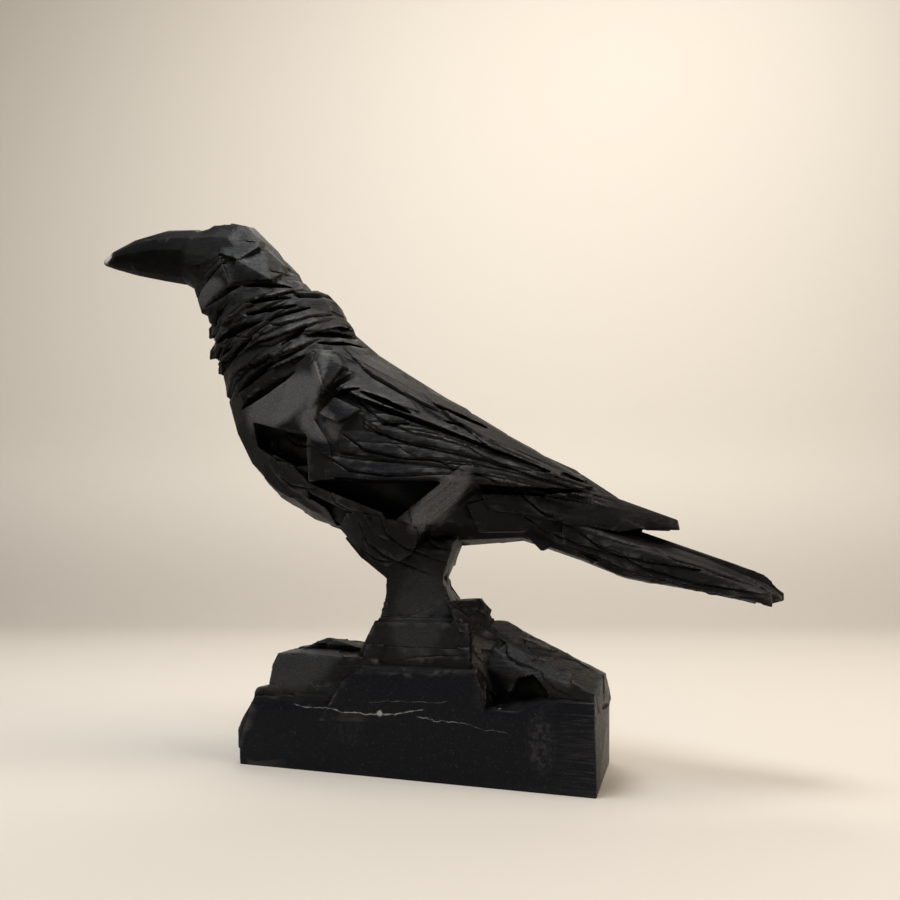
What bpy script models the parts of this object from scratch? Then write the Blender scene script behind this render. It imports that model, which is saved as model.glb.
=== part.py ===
"""A crow of rough-hewn black stone on a rock base, bird and base carved from one block."""
import math
import random

import bmesh
import bpy
from mathutils import Vector

# Whole statue. The beak points to -X, the bird's left side faces -Y, the underside lies at height 0.
BIRD_LENGTH = 0.500
PERCH_HEIGHT = 0.118

# Rock base
BASE_LENGTH = 0.224
BASE_WIDTH = 0.086
BASE_HEIGHT = 0.042
LEDGE_HEIGHT = 0.061
LEFT_TERRACE_HEIGHT = 0.070
RIGHT_END_HEIGHT = 0.064
RIGHT_RIM_HEIGHT = 0.048
END_SKEW = 0.008
NICHE_WIDTH = 0.030
NICHE_DEPTH = 0.018
NICHE_HEIGHT = 0.020
NICHE_FLOOR = 0.041

# Stem between base and belly
STEM_WIDTH = 0.038
STEM_DEPTH = 0.040
STEM_SHIFT = -0.0045
STEM_FOOT_WIDTH = 0.094
STEM_FOOT_DEPTH = 0.074

# Plumage relief
COLLAR_CORNERS = 16
COLLAR_LIP = 0.0030
COLLAR_DROP = 0.0140
GROOVE_DEPTH = 0.0080
RECESS_DEPTH = 0.0140
WING_HALF_DEPTH = 0.0375
FEATHER_LIFT = 0.0036
TAIL_BLADES = 5
TAIL_WIDTH = 0.040

# Facets that meet flatter than this many degrees count as one plane.
FLATNESS = 1.5

# The bird's free form is drawn in five-hundredths of its own length, with its perch at 118.
SHARE = BIRD_LENGTH / 500
DRAWN_PERCH = 118

# The rock's free form is drawn in parts of the base's own length.
ROCK_SHARE = BASE_LENGTH / 224

# Stations from beak tip to tail tip: upper x and z, lower x and z, half width, squareness.
BODY_STATIONS = (
    (-290, 372, -289, 367, 3.0, 1.8),
    (-279, 378, -277, 362, 6.5, 1.7),
    (-256, 385, -255, 354, 10.0, 1.7),
    (-226, 388, -228, 346, 13.0, 1.7),
    (-197, 384, -206, 340, 15.5, 1.8),
    (-189, 380, -196, 334, 19.0, 2.2),
    (-164, 381, -184, 320, 22.5, 2.4),
    (-146, 378, -178, 308, 24.0, 2.4),
    (-130, 362, -172, 291, 25.0, 2.2),
    (-114, 341, -165, 272, 26.5, 2.2),
    (-99, 323, -160, 254, 29.0, 2.2),
    (-80, 305, -155, 234, 32.0, 2.2),
    (-62, 287, -146, 212, 34.0, 2.2),
    (-40, 267, -133, 190, 35.0, 2.2),
    (-14, 249, -113, 172, 35.0, 2.2),
    (12, 232, -86, 156, 34.0, 2.2),
    (38, 214, -52, 143, 32.0, 2.2),
    (60, 199, -14, 135, 29.0, 2.2),
    (82, 186, 28, 136, 25.0, 2.2),
    (100, 168, 62, 138, 21.0, 2.2),
    (118, 153, 98, 126, 18.0, 2.4),
    (141, 138, 124, 115, 16.0, 2.6),
    (172, 127, 160, 109, 13.0, 2.6),
    (197, 117, 190, 103, 8.0, 2.4),
)
BODY_SIDES = 12

# Neck collars from the head down: throat x and z, nape x and z, half width, raggedness at the throat.
COLLARS = (
    (-175, 303, -97, 319, 25.5, 0.0),
    (-175, 293, -88, 311, 27.5, 0.5),
    (-172, 278, -68, 301, 30.0, 0.6),
    (-165, 265, -61, 289, 32.5, 0.6),
    (-160, 251, -58, 279, 34.0, 0.1),
    (-154, 238, -53, 273, 35.5, 0.0),
)

# Lens-shaped cuts across neck and wing: start x and z, end x and z, width, bow above the straight line.
NECK_GROOVES = (
    (-174, 312, -136, 323, 8.0, 1.8),
    (-142, 322, -98, 318, 4.2, 1.6),
    (-136, 308, -97, 309, 5.0, 0.8),
    (-168, 295, -147, 311, 7.0, 1.6),
    (-137, 299, -90, 303, 4.6, -0.6),
    (-165, 284, -113, 292, 8.6, 0.6),
    (-117, 291, -80, 302, 3.2, 0.0),
    (-99, 271, -82, 287, 6.0, 0.0),
    (-84, 278, -48, 278, 3.2, 4.0),
    (-64, 290, -44, 278, 4.6, 1.6),
    (-153, 261, -116, 285, 4.8, 0.8),
    (-161, 272, -139, 277, 5.0, 0.0),
    (-78, 273, -44, 272, 3.6, 0.4),
    (-137, 241, -86, 268, 6.0, 0.8),
    (-136, 229, -84, 252, 8.0, 0.6),
)
WING_GROOVES = (
    (4, 227, 50, 205, 2.8, 0.4),
    (-60, 231, -34, 236, 3.4, 1.0),
    (-38, 235, 4, 215, 3.6, 0.6),
    (-22, 211, 4, 210, 3.0, 0.0),
    (18, 213, 36, 206, 1.8, 0.0),
)

# Back line and lower edge of the folded wing as points x and z, from shoulder to wing tip.
WING_BACK = ((-66, 280), (-40, 262), (20, 226), (60, 199), (104, 175), (114, 165), (158, 147))
WING_EDGE = ((-70, 180), (-30, 178), (15, 176), (60, 173), (112, 158), (158, 143))
WING_DEPTHS = ((-70, 1.00), (-20, 1.04), (40, 0.96), (80, 0.76), (112, 0.56), (158, 0.30))


def clear_scene():
    for thing in list(bpy.data.objects):
        bpy.data.objects.remove(thing, do_unlink=True)
    for mesh in list(bpy.data.meshes):
        bpy.data.meshes.remove(mesh)


def on_bird(x, depth, z):
    """A drawn point of the bird in metres; depth is counted in drawn units from the middle plane."""
    return Vector((x * SHARE, depth * SHARE, PERCH_HEIGHT + (z - DRAWN_PERCH) * SHARE))


def blend(low, high, part):
    return low + (high - low) * part


def along(points, x):
    """Height or factor at x on a broken line of (x, value) points."""
    if x <= points[0][0]:
        return points[0][1]
    for (x0, v0), (x1, v1) in zip(points, points[1:]):
        if x <= x1:
            return blend(v0, v1, (x - x0) / (x1 - x0))
    return points[-1][1]


def add_object(name, mesh_builder):
    mesh = bpy.data.meshes.new(name)
    mesh_builder.normal_update()
    mesh_builder.to_mesh(mesh)
    mesh_builder.free()
    thing = bpy.data.objects.new(name, mesh)
    bpy.context.scene.collection.objects.link(thing)
    return thing


def hull(name, points):
    """A chip of stone: the smallest convex body around the points."""
    shape = bmesh.new()
    for point in points:
        shape.verts.new(point)
    bmesh.ops.convex_hull(shape, input=shape.verts)
    loose = [vert for vert in shape.verts if not vert.link_faces]
    bmesh.ops.delete(shape, geom=loose, context="VERTS")
    bmesh.ops.recalc_face_normals(shape, faces=shape.faces)
    return add_object(name, shape)


def loft(name, rings):
    """A closed body through rings of equal corner count, each end closed by a fan."""
    shape = bmesh.new()
    rows = [[shape.verts.new(point) for point in ring] for ring in rings]
    count = len(rows[0])
    for row, following in zip(rows, rows[1:]):
        for k in range(count):
            n = (k + 1) % count
            shape.faces.new((row[k], row[n], following[n], following[k]))
    for row in (rows[0], rows[-1]):
        middle = shape.verts.new(sum((corner.co for corner in row), Vector()) / count)
        for k in range(count):
            shape.faces.new((row[k], row[(k + 1) % count], middle))
    bmesh.ops.recalc_face_normals(shape, faces=shape.faces)
    bmesh.ops.triangulate(shape, faces=[face for face in shape.faces if len(face.verts) > 3])
    return add_object(name, shape)


def rounded(angle, squareness):
    """Cosine and sine of a corner on a squared-off ellipse."""
    c, s = math.cos(angle), math.sin(angle)
    size = (abs(c) ** squareness + abs(s) ** squareness) ** (-1 / squareness)
    return c * size, s * size


def body_section(station, sides, chips=0.0, chance=None):
    """Corners round the bird's trunk at a station of BODY_STATIONS."""
    top_x, top_z, low_x, low_z, half_width, squareness = station
    mid_x, mid_z = (top_x + low_x) / 2, (top_z + low_z) / 2
    ring = []
    for k in range(sides):
        c, s = rounded(2 * math.pi * k / sides, squareness)
        swell = 1 + (chance.uniform(-chips, chips) if chance else 0)
        x = mid_x + (top_x - mid_x) * c * swell
        z = mid_z + (top_z - mid_z) * c * swell
        ring.append(on_bird(x, -half_width * s * swell, z))
    return ring


def build_trunk():
    chance = random.Random(11)
    rings = []
    for number, station in enumerate(BODY_STATIONS):
        chips = 0.0 if number < 6 else 0.022
        rings.append(body_section(station, BODY_SIDES, chips, chance))
    return loft("trunk", rings)


def neck_depth(x, z):
    """Half width of the neck with its collars at a drawn point of its side view."""
    return trunk_depth(x, z) + 1.0


def trunk_depth(x, z):
    """Half width of the plain trunk at a drawn point of its side view."""
    best, found = 1e9, 0.0
    for first, second in zip(BODY_STATIONS, BODY_STATIONS[1:]):
        for step in range(5):
            station = [blend(a, b, step / 5) for a, b in zip(first, second)]
            up = Vector((station[0] - station[2], station[1] - station[3]))
            away = Vector((x - station[2], z - station[3]))
            share = away.dot(up) / up.length_squared
            miss = (away - up * share).length
            if miss < best and -0.1 < share < 1.1:
                best = miss
                c = min(1.0, abs(2 * share - 1))
                found = station[4] * max(0.0, 1 - c ** station[5]) ** (1 / station[5])
    return found


def side_chip(name, corners, side, root=9):
    """A facet on one side of the bird: corners x, z and half depth, rooted inside the trunk."""
    points = []
    for x, z, depth in corners:
        points.append(on_bird(x, side * depth, z))
        points.append(on_bird(x, side * max(depth - root, 1.0), z))
    return hull(name, points)


def build_collars():
    """Overlapping rings of stone plumage down the neck, each with an uneven undercut lip."""
    chance = random.Random(7)
    parts = []
    lip = COLLAR_LIP / SHARE
    drop = COLLAR_DROP / SHARE
    for number, (throat_x, throat_z, nape_x, nape_z, half, ragged) in enumerate(COLLARS):
        mid_x, mid_z = (throat_x + nape_x) / 2, (throat_z + nape_z) / 2
        along_x, along_z = (nape_x - throat_x) / 2, (nape_z - throat_z) / 2
        rings = []
        for level, size in ((1.25, 0.86), (0.62, 0.955), (0.0, 1.0), (0.24, 0.86)):
            ring = []
            for k in range(COLLAR_CORNERS):
                c, s = rounded(2 * math.pi * k / COLLAR_CORNERS, 2.2)
                jag, reach = 0.0, size
                if level == 0.0:
                    jag = -0.30 * chance.random() * (1 - max(0.0, -c)) - ragged * max(0.0, -c) * chance.random()
                    reach = size + lip / half * chance.uniform(-0.8, 1.0) * (1 - 0.8 * abs(c))
                elif level == 0.62:
                    reach = size * chance.uniform(0.98, 1.01)
                height = (level + jag) * drop
                x = mid_x + along_x * c * reach - 0.35 * height
                z = mid_z + along_z * c * reach + height
                ring.append(on_bird(x, -half * s * reach, z))
            rings.append(ring)
        parts.append(loft(f"collar_{number + 1}", rings))
    return parts


def build_throat_teeth():
    """The pointed ends that hang free at the throat and the two that stand off the nape."""
    parts = []
    for number, (x, z, y, length) in enumerate((
            (-180, 293, -3, 14), (-178, 277, -3, 12), (-169, 264, -5, 15), (-174, 287, 9, 10))):
        points = []
        for edge in (-1, 1):
            points.append(on_bird(x, y + edge * 0.8, z))
            points.append(on_bird(x + 3, y + edge * 1.5, z + 0.5))
            points.append(on_bird(x, y + edge * 2.5, z + length * 0.5))
            points.append(on_bird(x + 14, y + edge * 4.0, z + length * 0.8))
            points.append(on_bird(x + 10, y + edge * 3.0, z + length * 0.4))
            points.append(on_bird(x + 5, y + edge * 3.0, z + length))
        parts.append(hull(f"throat_tooth_{number + 1}", points))
    for number, (x, z, y) in enumerate(((-82, 311, 1), (-60, 288, 1), (-57, 278, 3))):
        points = []
        for edge in (-1, 1):
            points.append(on_bird(x, y + edge * 3, z))
            points.append(on_bird(x - 7, y + edge * 5, z + 7))
            points.append(on_bird(x - 18, y + edge * 6, z + 10))
            points.append(on_bird(x - 20, y + edge * 6, z))
            points.append(on_bird(x - 6, y + edge * 5, z - 3))
        parts.append(hull(f"nape_tooth_{number + 1}", points))
    return parts


def build_groove(name, side, groove, depth_at):
    """A cutter for one lens-shaped groove: wide at the surface, narrow at its floor."""
    start_x, start_z, end_x, end_z, width, bow = groove
    run_x, run_z = end_x - start_x, end_z - start_z
    length = math.hypot(run_x, run_z)
    away_x, away_z = -run_z / length, run_x / length
    points = []
    for share, half in ((0.0, 0.04), (0.25, 0.40), (0.5, 0.5), (0.8, 0.30), (1.0, 0.04)):
        bend = bow * 4 * share * (1 - share)
        for edge in (-1, 1):
            off = bend + edge * half * width
            x, z = start_x + run_x * share + away_x * off, start_z + run_z * share + away_z * off
            surface = depth_at(x, z)
            points.append(on_bird(x, side * surface, z))
            points.append(on_bird(x, side * 70, z))
    for share in (0.22, 0.5, 0.74):
        bend = bow * 4 * share * (1 - share)
        for edge in (-0.1, 0.12):
            off = bend + edge * width
            x, z = start_x + run_x * share + away_x * off, start_z + run_z * share + away_z * off
            points.append(on_bird(x, side * max(1.0, depth_at(x, z) - GROOVE_DEPTH / SHARE), z))
    return hide_cutter(hull(name, points))


def build_grooves(side):
    label = "near" if side < 0 else "far"
    cutters = []
    for number, groove in enumerate(NECK_GROOVES):
        cutters.append(build_groove(f"{label}_neck_groove_{number + 1}", side, groove, neck_depth))
    for number, groove in enumerate(WING_GROOVES):
        cutters.append(build_groove(f"{label}_wing_groove_{number + 1}", side, groove, wing_depth))
    return cutters


def wing_depth(x, z):
    """Half depth of the folded wing at a drawn point of its side view."""
    back, edge = along(WING_BACK, x), along(WING_EDGE, x)
    row = min(1.0, max(0.0, (back - z) / max(1.0, back - edge)))
    rise = 1 - 0.62 * (1 - min(1.0, row / 0.50)) ** 2
    return WING_HALF_DEPTH / SHARE * along(WING_DEPTHS, x) * rise


def wing_point(x, row, side, lift):
    """A point on the folded wing: row 0 lies on the back line, row 1 on the lower edge."""
    z = blend(along(WING_BACK, x), along(WING_EDGE, x), row)
    return on_bird(x, side * (wing_depth(x, z) + lift), z)


def build_band(name, start, end, top, bottom, side, lift):
    """A long lapped band of the wing: flush along its upper edge, proud along its lower edge."""
    points = []
    for share, narrow in ((0.0, 0.7), (0.2, 1.0), (0.5, 1.0), (0.75, 0.95), (1.0, 0.55)):
        x = blend(start, end, share)
        middle = blend(top, bottom, 0.6)
        upper, lower = blend(middle, top, narrow), blend(middle, bottom, narrow)
        points.append(wing_point(x, upper, side, 0.15 * lift))
        points.append(wing_point(x, lower, side, lift * (0.7 + 0.3 * share)))
        points.append(wing_point(x, upper, side, -7))
        points.append(wing_point(x, lower, side, -7))
    return hull(name, points)


def wing_chip(name, corners, side):
    """A facet on the wing: corners x, z and how far it stands proud, in shares of the feather lift."""
    lift = FEATHER_LIFT / SHARE
    return side_chip(name, [(x, z, wing_depth(x, z) + proud * lift) for x, z, proud in corners], side)


def build_wing(side):
    """The folded wing: hewn panels under long lapped bands that run together at the tip."""
    label = "near" if side < 0 else "far"
    chance = random.Random(21 if side < 0 else 22)
    parts = []
    lift = FEATHER_LIFT / SHARE
    for number, (first, last) in enumerate(((-68, 8), (-10, 66), (44, 110))):
        panel = []
        for x in (first, (first + last) / 2, last):
            for row in (0.12, 0.5, 1.0):
                panel.append(wing_point(x, row, side, 0))
                panel.append(wing_point(x, row, side, -16))
        parts.append(hull(f"{label}_wing_panel_{number + 1}", panel))
    for number, (start, finish, top, bottom, proud) in enumerate((
            (-64, 104, 0.00, 0.20, 0.5), (-66, 92, 0.17, 0.36, 1.0), (-30, 98, 0.42, 0.62, 0.5),
            (-48, 106, 0.62, 0.84, 0.9), (-58, 96, 0.82, 1.02, 1.2))):
        shift = 0 if side < 0 else chance.uniform(-6, 4)
        name = f"{label}_band_{number + 1}"
        parts.append(build_band(name, start, finish + shift, top, bottom, side, lift * proud))
    parts.append(wing_chip(f"{label}_wing_chevron", (
        (-64, 221, 0.6), (-53, 231, 0.4), (-34, 222, 0.2), (-41, 216, 1.1), (-49, 214, 1.4)), side))
    parts.append(wing_chip(f"{label}_wing_facet", (
        (-56, 245, 0.2), (-40, 252, 0.2), (-8, 233, 0.2), (6, 218, 1.0), (-30, 232, 0.9),
        (-52, 236, 0.5)), side))
    # The long quills that pass the wing's lower edge and end at the wing tip.
    tip = 1.0 if side < 0 else 0.96
    parts.append(side_chip(f"{label}_quill_1", (
        (72, 182, 26), (84, 162, 28), (108, 167, 18), (113, 158, 21), (140, 153, 11), (156 * tip, 149, 6),
        (157 * tip, 143, 7), (136, 144, 13)), side, 10))
    parts.append(side_chip(f"{label}_quill_2", (
        (44, 166, 32), (50, 156, 31), (82, 163, 26), (92, 150, 26), (118, 154, 19), (138 * tip, 144, 14),
        (124, 142, 17)), side, 12))
    parts.append(side_chip(f"{label}_quill_3", (
        (40, 180, 38), (44, 171, 37), (86, 177, 30), (104, 167, 25), (110 * tip, 169, 19)), side, 10))
    return parts


def build_shoulder(side):
    """The smooth struck planes of breast and shoulder, standing proud of the hollows under them."""
    label = "near" if side < 0 else "far"
    parts = []
    parts.append(side_chip(f"{label}_breast_plane", (
        (-136, 226, 17), (-126, 236, 25), (-84, 254, 36), (-72, 264, 37), (-60, 237, 42), (-66, 222, 42),
        (-70, 207, 41), (-94, 214, 37), (-120, 222, 27)), side, 16))
    parts.append(side_chip(f"{label}_shoulder_plane", (
        (-74, 267, 33), (-58, 265, 31), (-48, 252, 37), (-57, 238, 41), (-66, 226, 42),
        (-71, 246, 39)), side, 14))
    parts.append(side_chip(f"{label}_wing_front", (
        (-72, 207, 41), (-71, 177, 38), (-54, 199, 42), (-52, 178, 39), (-66, 216, 42)), side, 18))
    parts.append(side_chip(f"{label}_breast_strip", (
        (-143, 212, 6), (-131, 193, 9), (-121, 204, 23), (-119, 192, 18), (-122, 222, 27),
        (-136, 224, 17)), side, 10))
    return parts


def build_underside_chips(side):
    """Belly planes, thigh and the bright slab of the flank, put on after the hollows are cut."""
    label = "near" if side < 0 else "far"
    parts = []
    parts.append(side_chip(f"{label}_belly_plane_1", (
        (-119, 203, 23), (-100, 180, 26), (-76, 166, 29), (-74, 177, 34), (-88, 190, 32),
        (-121, 195, 14)), side, 14))
    parts.append(side_chip(f"{label}_belly_plane_2", (
        (-113, 176, 9), (-88, 162, 12), (-62, 149, 15), (-64, 160, 26), (-92, 176, 25)), side, 10))
    parts.append(side_chip(f"{label}_thigh_rib", (
        (-76, 178, 35), (-72, 170, 34), (-46, 158, 34), (-18, 151, 32), (-20, 156, 35),
        (-50, 167, 37)), side, 14))
    parts.append(side_chip(f"{label}_thigh", (
        (-58, 148, 20), (-42, 132, 20), (-22, 122, 22), (-4, 130, 25), (8, 148, 30), (-24, 153, 31),
        (-48, 157, 28)), side, 16))
    parts.append(side_chip(f"{label}_flank_slab", (
        (-11, 151, 34), (0, 148, 33), (11, 148, 33), (26, 157, 35), (41, 168, 36), (47, 178, 37),
        (40, 184, 39), (31, 179, 40)), side, 12))
    parts.append(side_chip(f"{label}_rear_flank", (
        (34, 160, 28), (40, 143, 23), (66, 143, 19), (84, 150, 20), (62, 166, 28)), side, 12))
    return parts


def build_hollow(name, side, corners, depth):
    """A hollow hewn into one side: its outline in the side view, cut down to a depth from the middle."""
    points = []
    for x, z, floor in corners:
        points.append(on_bird(x, side * (floor - depth / SHARE), z))
        points.append(on_bird(x, side * 70, z))
    return hide_cutter(hull(name, points))


def build_hollows(side):
    """The deep dark places under the breast plane and under the wing's lower edge."""
    label = "near" if side < 0 else "far"
    return [
        build_hollow(f"{label}_breast_hollow", side, (
            (-121, 221, 28), (-119, 204, 27), (-91, 188, 34), (-72, 189, 40), (-71, 206, 41),
            (-94, 213, 38)),
            RECESS_DEPTH),
        build_hollow(f"{label}_flank_hollow", side, (
            (-66, 178, 40), (-44, 176, 41), (16, 174, 40), (34, 171, 38), (14, 156, 34), (-16, 153, 34),
            (-50, 166, 38)), RECESS_DEPTH),
        build_hollow(f"{label}_quill_hollow", side, (
            (44, 171, 36), (98, 167, 26), (104, 165, 24), (84, 164, 27),
            (46, 166, 33)), RECESS_DEPTH * 0.7),
        build_hollow(f"{label}_shoulder_notch", side, (
            (-59, 237, 42), (-57, 233, 43), (-39, 247, 38), (-42, 251, 36)), RECESS_DEPTH * 0.5)]


def hide_cutter(cutter):
    cutter.hide_render = True
    cutter.display_type = "WIRE"
    return cutter


def build_head_chips(side):
    """Cheek, chin and brow facets round the root of the beak."""
    label = "near" if side < 0 else "far"
    parts = []
    parts.append(side_chip(f"{label}_chin", (
        (-189, 330, 13), (-177, 346, 22), (-158, 347, 25.5), (-147, 326, 27), (-150, 318, 26),
        (-177, 308, 18)), side, 10))
    parts.append(side_chip(f"{label}_cheek", (
        (-194, 370, 14), (-195, 350, 18), (-176, 345, 23), (-160, 348, 25), (-152, 375, 15),
        (-174, 379, 12)), side, 10))
    parts.append(side_chip(f"{label}_temple", (
        (-158, 378, 13), (-159, 350, 25), (-141, 342, 26), (-128, 352, 20), (-132, 361, 12),
        (-145, 374, 12)), side, 10))
    parts.append(side_chip(f"{label}_nape_facet", (
        (-143, 342, 26), (-145, 326, 26), (-114, 324, 25), (-110, 332, 15), (-113, 340, 12),
        (-126, 353, 15)), side, 10))
    return parts


def build_tail():
    """Stone tail of lapped blades with staggered ends."""
    chance = random.Random(5)
    parts = []
    half = TAIL_WIDTH / SHARE / 2
    for number in range(TAIL_BLADES):
        place = 2 * number / (TAIL_BLADES - 1) - 1
        outer = abs(place)
        root_y = place * half * 0.85
        tip_y = place * half * 0.62
        wide = 0.30 * half
        back = (6, 2, 0, 9, 14)[number % 5] + chance.uniform(-1, 1)
        low = 5 * outer
        points = []
        for x, top, bottom, grow in ((92, 158, 134, 0.8), (130, 141, 118, 1.1), (170, 129, 107, 1.1),
                                     (202 - back, 116.5, 102, 0.9),
                                     (211 - back, 107 + 2 * outer, 104 + outer, 0.4)):
            middle = blend(root_y, tip_y, (x - 92) / 117)
            tilt = chance.uniform(-1.2, 1.2)
            for edge in (-1, 1):
                fall = low + (0 if edge * place <= 0 else 3)
                points.append(on_bird(x, middle + edge * wide * grow, top - fall + tilt * edge))
                points.append(on_bird(x, middle + edge * wide * grow * 0.8, bottom + low * 0.35 + tilt))
        parts.append(hull(f"tail_blade_{number + 1}", points))
    for number, (x, z, y) in enumerate(((76, 136, -9), (107, 128, -12), (126, 121, 8), (92, 132, 11))):
        points = []
        for edge in (-4, 4):
            points.append(on_bird(x - 12, y + edge, z + 8))
            points.append(on_bird(x, y + edge * 0.6, z - 4.5))
            points.append(on_bird(x + 5, y + edge * 0.5, z - 2.5))
            points.append(on_bird(x + 14, y + edge, z + 5))
        parts.append(hull(f"tail_tooth_{number + 1}", points))
    return parts


def build_back_chips():
    """Long chips along the spine between the wings."""
    chance = random.Random(3)
    parts = []
    for number in range(7):
        x = -62 + 25 * number
        z = along(WING_BACK, x)
        y = (-7, 6, -3, 8, -6, 4, 0)[number]
        width = 11 - 0.8 * number
        length = 46 - 2 * number
        points = []
        for share, rise, wide in ((0, -3.0, 1.0), (0.35, 1.6, 1.0), (0.9, 2.0, 0.7), (1.0, 1.2, 0.3)):
            at = x + length * share
            ridge = along(WING_BACK, at) + rise * chance.uniform(0.8, 1.2)
            points.append(on_bird(at, y - width * wide, ridge - 3))
            points.append(on_bird(at, y + width * wide, ridge - 2))
            points.append(on_bird(at, y, ridge))
            points.append(on_bird(at, y, ridge - 12))
        parts.append(hull(f"back_chip_{number + 1}", points))
    return parts


def rock(name, corners):
    """A split piece of rock from points drawn in rock shares."""
    return hull(name, [Vector(corner) * ROCK_SHARE for corner in corners])


def box_corners(low_rect, low_z, high_rect, high_z):
    """Eight corners of a tapered block from two level rectangles (x0, x1, y0, y1), in rock shares."""
    corners = []
    for (x0, x1, y0, y1), z in ((low_rect, low_z), (high_rect, high_z)):
        corners += [(x0, y0, z), (x1, y0, z), (x1, y1, z), (x0, y1, z)]
    return corners


def build_base():
    """The block's lower part: sawn front, end and underside, broken left end and top."""
    half = BASE_LENGTH / ROCK_SHARE / 2
    deep = BASE_WIDTH / ROCK_SHARE / 2
    low = BASE_HEIGHT / ROCK_SHARE
    ledge = LEDGE_HEIGHT / ROCK_SHARE
    left = LEFT_TERRACE_HEIGHT / ROCK_SHARE
    right = RIGHT_END_HEIGHT / ROCK_SHARE
    rim = RIGHT_RIM_HEIGHT / ROCK_SHARE
    skew = END_SKEW / ROCK_SHARE
    parts = []
    parts.append(rock("base_block", [
        (-half, -deep, 0), (half, -deep, 0), (half - skew, deep, 0), (-half + 9, deep - 3, 0),
        (-half - 1, -deep, 12), (-half - 1, -deep + 8, 20), (-half + 6, deep - 8, 16),
        (-half + 5, -deep + 1, low - 8), (half, -deep, low), (half - skew, deep, low),
        (half + 1, -2, low),
        (-half + 9, -deep + 3, low), (-half + 20, deep - 5, low)]))
    parts.append(rock("left_shelf", [
        (-half - 3, -deep + 2, 9), (-half - 7, -deep + 12, 13), (-half - 4, deep - 30, 22),
        (-half - 4, -deep + 3, 22),
        (-half + 1, -deep + 1, 29), (-half + 1, deep - 22, 30), (-half + 5, -deep + 3, 37),
        (-half + 40, -deep + 2, 10), (-half + 40, deep - 20, 10), (-half + 40, -deep + 6, 37),
        (-half + 3, deep - 40, 5)]))
    parts.append(rock("left_lower_terrace", [
        (-half + 4, -deep + 3, low - 6), (-half + 6, -deep + 6, low + 4),
        (-half + 11, deep - 14, low + 6),
        (-half + 10, deep - 10, low - 8), (-half + 50, -deep + 1, low - 4),
        (-half + 42, -deep + 7, low + 8),
        (-half + 50, deep - 8, low + 8), (-half + 50, deep - 6, low - 10)]))
    parts.append(rock("left_terrace", [
        (-half + 14, -deep + 8, 30), (-half + 14, -deep + 9, 50), (-half + 12, -deep + 15, 60),
        (-half + 14, -deep + 18, left - 3), (-half + 24, deep - 24, left + 1),
        (-half + 21, deep - 14, 46),
        (-half + 24, deep - 12, 30), (-half + 42, -deep + 2, 45), (-half + 42, -deep + 14, left - 2),
        (-8, -deep + 1, low + 2), (-22, -deep + 9, ledge + 5), (-22, deep - 10, ledge + 8),
        (-14, deep - 4, 34),
        (-half + 46, deep - 24, left + 1)]))
    parts.append(rock("left_crest", [
        (-half + 19, -10, left - 5), (-half + 27, -16, left - 1), (-half + 38, -18, left + 4),
        (-half + 47, -16, left + 7), (-half + 54, -12, left + 5), (-half + 70, -16, left + 1),
        (-half + 84, 10, left - 2),
        (-half + 60, 16, left + 1), (-half + 40, 14, left + 1), (-half + 28, 12, left - 6),
        (-20, 0, 40), (-80, 0, 40)]))
    parts.append(rock("centre_ledge", [
        (-56, -deep, 30), (-42, -deep + 0.5, 53), (-30, -deep + 1, ledge - 1), (44, -deep + 1, ledge - 1),
        (48, -deep + 1.5, 52), (51, -deep, 34), (-30, -deep + 12, ledge + 2), (42, -deep + 12, ledge + 2),
        (-48, deep - 4, 32), (50, deep - 2, 32), (-34, deep - 14, ledge + 1),
        (46, deep - 12, ledge + 3)]))
    parts.append(rock("right_mass", [
        (32, -18, ledge + 19), (42, -10, ledge + 26), (44, 8, ledge + 28), (30, 18, ledge + 25),
        (47, 0, ledge + 29),
        (62, -10, ledge + 19), (60, 12, ledge + 17), (84, -10, ledge + 8), (82, 14, ledge + 6),
        (half - 3, -deep + 16, right - 6), (half, -8, right - 3), (half - skew, deep - 3, right - 12),
        (half - 0.5, -deep + 3, rim + 5), (half - skew, deep, 30), (40, deep, 34), (40, deep - 10, 62),
        (36, -26, 66), (half, -deep + 2, rim - 2), (56, -22, 58), (84, -deep + 10, rim + 1),
        (40, -20, 30),
        (half + 2, 0, 47)]))
    parts.append(rock("right_rim", [
        (44, -deep, 30), (76, -deep + 0.5, rim - 6), (82, -deep + 1, rim), (half, -deep + 1, rim),
        (half, -deep, 30), (half, -deep + 14, rim + 1), (60, -deep + 20, rim - 2),
        (44, -deep + 22, rim - 8),
        (44, 0, 30), (half, 0, 30)]))
    return parts


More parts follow.
